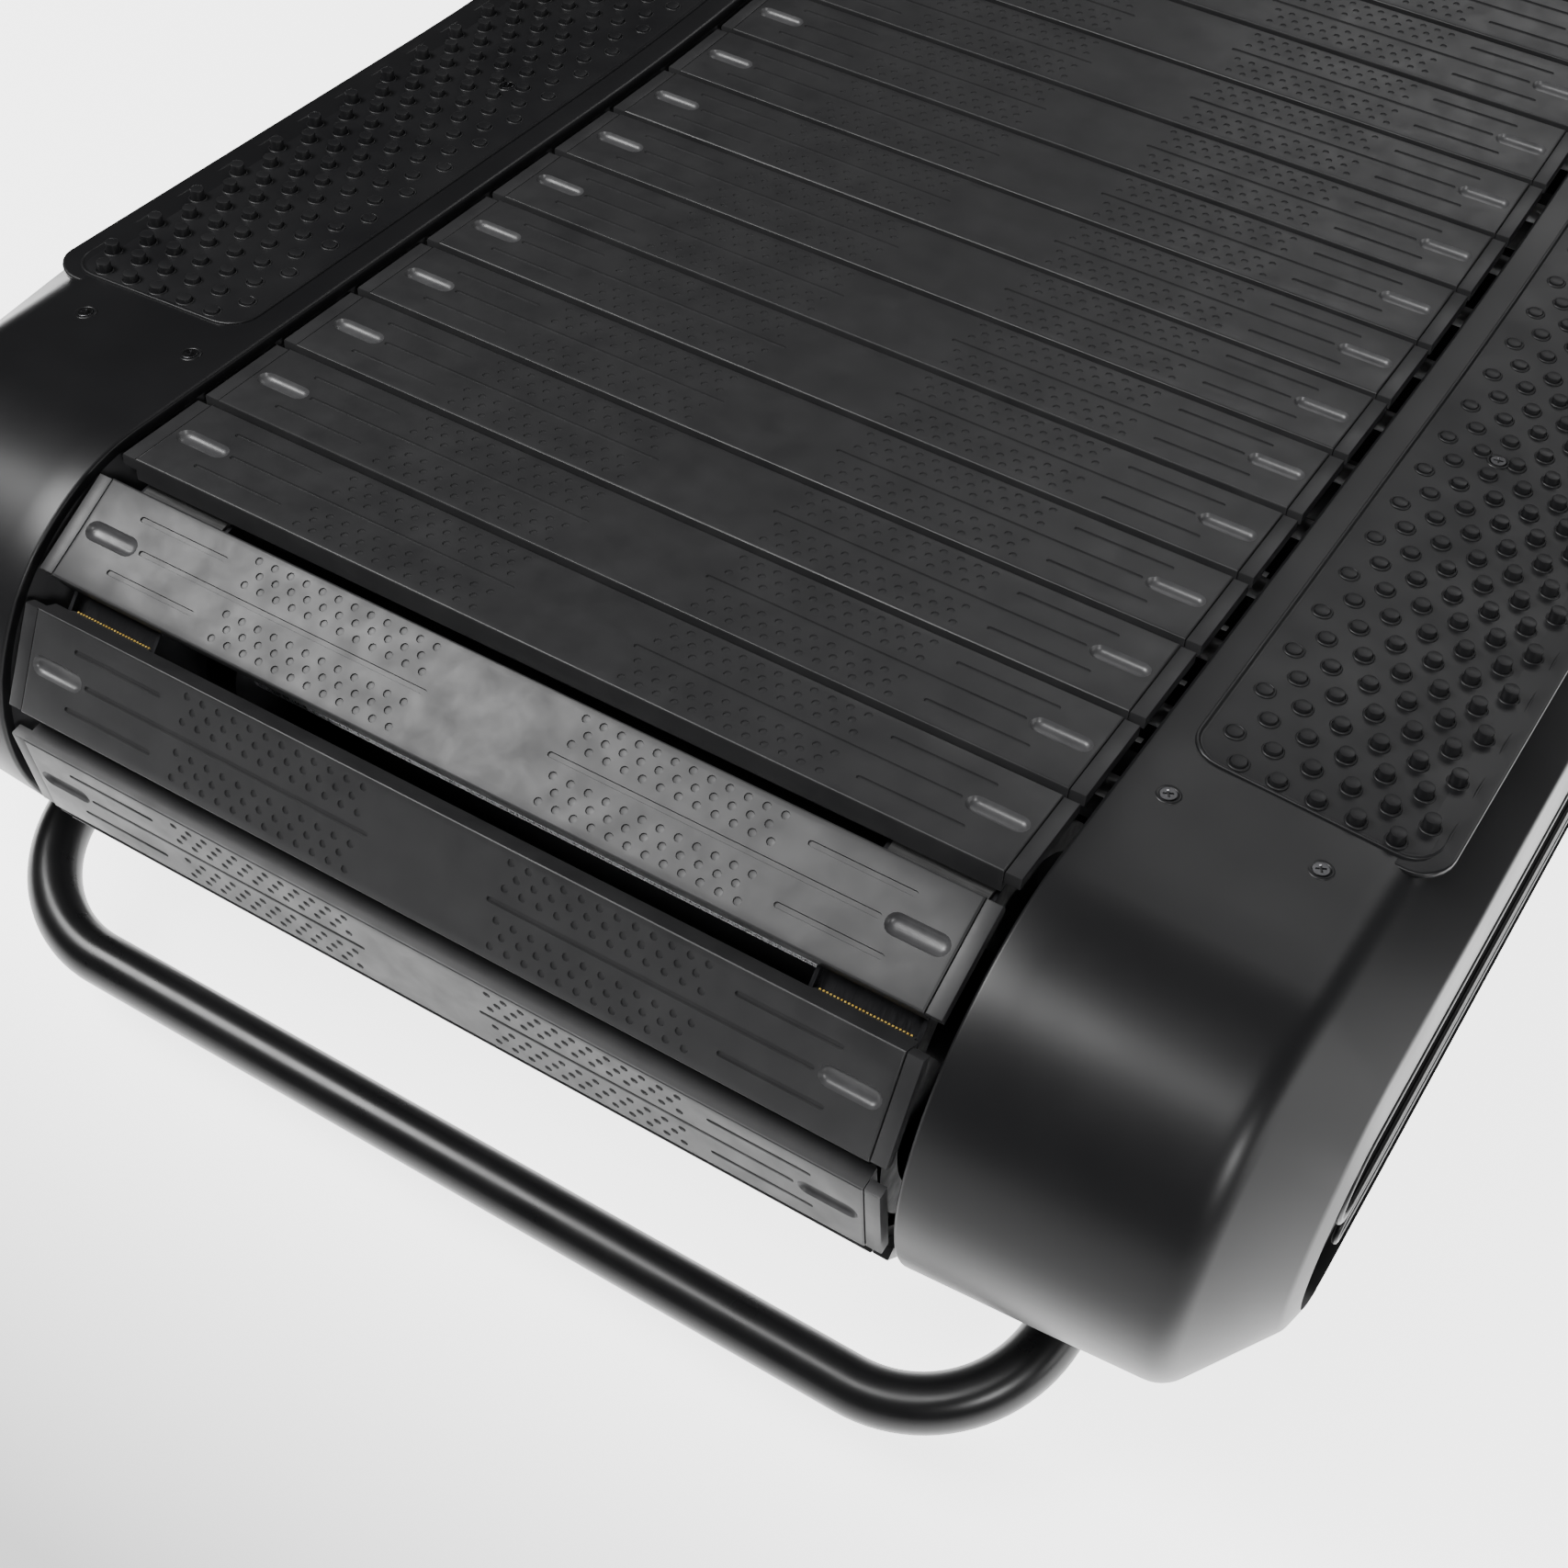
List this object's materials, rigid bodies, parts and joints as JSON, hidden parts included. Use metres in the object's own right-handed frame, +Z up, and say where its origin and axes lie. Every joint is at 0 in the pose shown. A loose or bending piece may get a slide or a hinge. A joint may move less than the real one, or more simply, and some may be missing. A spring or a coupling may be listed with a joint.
{
  "type": "curved manual treadmill",
  "caption": "Curved motorless treadmill: a slatted running belt on a concave deck between two rollers, black side covers with foot plates, a tube handle behind and a console on two masts",
  "frame": {"origin": "middle of the footprint on the floor, under the centre of the bounding box", "axes": "+Y from the lifting handle at the rear to the console, +X to the runner's right, +Z up"},
  "size_m": [0.8362, 1.8708, 1.2931],
  "materials": {
    "cover_plastic": "satin moulded black",
    "plate_rubber": "matte moulded",
    "slat_rubber": "matte moulded",
    "belt_rubber": "matte",
    "fastener_steel": "blackened and worn",
    "bearing_steel": "ground",
    "shaft_steel": "turned",
    "pulley_metal": "turned",
    "bearing_block": "painted",
    "black_rubber": "matte",
    "screen_glass": "dark, glossy",
    "keypad_plastic": "matte",
    "handle_paint": "satin black",
    "frame_paint": "satin black powder coat"
  },
  "bodies": {
    "frame": {"side_cover_left": "cover_plastic", "side_cover_right": "cover_plastic", "side_panel_left": "cover_plastic", "side_panel_right": "cover_plastic", "foot_plate_left": "plate_rubber", "foot_plate_right": "plate_rubber", "cover_screws": "fastener_steel", "side_rail_left": "frame_paint", "side_rail_right": "frame_paint", "cross_tubes": "frame_paint", "rear_bearings": "bearing_block", "front_bearings": "bearing_block", "drive_belt_left": "belt_rubber", "drive_belt_right": "belt_rubber", "slats_deck": "slat_rubber", "slats_rear_turn": "slat_rubber", "slats_front_turn": "slat_rubber", "slats_return": "slat_rubber", "end_strips_left": "slat_rubber", "end_strips_right": "slat_rubber", "guide_bearings_left": "bearing_steel", "guide_bearings_right": "bearing_steel", "guide_bolts_left": "fastener_steel", "guide_bolts_right": "fastener_steel", "rear_handle": "handle_paint", "handle_sockets": "frame_paint", "base_rail_left": "frame_paint", "base_rail_right": "frame_paint", "base_cross_tubes": "frame_paint", "rear_stands": "frame_paint", "front_stands": "frame_paint", "rubber_feet": "black_rubber", "wheel_bolts": "fastener_steel", "upright_left": "frame_paint", "upright_right": "frame_paint", "knuckles": "frame_paint", "mast_left": "frame_paint", "mast_right": "frame_paint", "handrail_left": "frame_paint", "handrail_right": "frame_paint", "grip_left": "black_rubber", "grip_right": "black_rubber", "end_caps": "cover_plastic", "console_bar": "frame_paint", "console_housing": "cover_plastic", "console_back": "cover_plastic", "console_screen": "screen_glass", "console_keypad": "keypad_plastic", "bottle_holder": "cover_plastic", "front_shroud": "cover_plastic"},
    "rear_drum": {"rear_shaft": "shaft_steel", "rear_pulley_left": "pulley_metal", "rear_pulley_right": "pulley_metal"},
    "front_drum": {"front_shaft": "shaft_steel", "front_pulley_left": "pulley_metal", "front_pulley_right": "pulley_metal"},
    "left_wheel": {"wheel_left": "black_rubber"},
    "right_wheel": {"wheel_right": "black_rubber"}
  },
  "joints": [
    {"name": "rear_drum_spin", "type": "hinge", "parent": "frame", "child": "rear_drum", "pos_m": [0, -0.80093, 0.218], "axis": [1, 0, 0], "continuous": true},
    {"name": "front_drum_spin", "type": "hinge", "parent": "frame", "child": "front_drum", "pos_m": [0, 0.72643, 0.35843], "axis": [1, 0, 0], "continuous": true},
    {"name": "wheel_left_spin", "type": "hinge", "parent": "frame", "child": "left_wheel", "pos_m": [-0.275, 0.85143, 0.032], "axis": [1, 0, 0], "continuous": true},
    {"name": "wheel_right_spin", "type": "hinge", "parent": "frame", "child": "right_wheel", "pos_m": [0.275, 0.85143, 0.032], "axis": [1, 0, 0], "continuous": true}
  ],
  "couplings": [
    {"joint": "front_drum_spin", "follows": "rear_drum_spin", "ratio": 1}
  ]
}
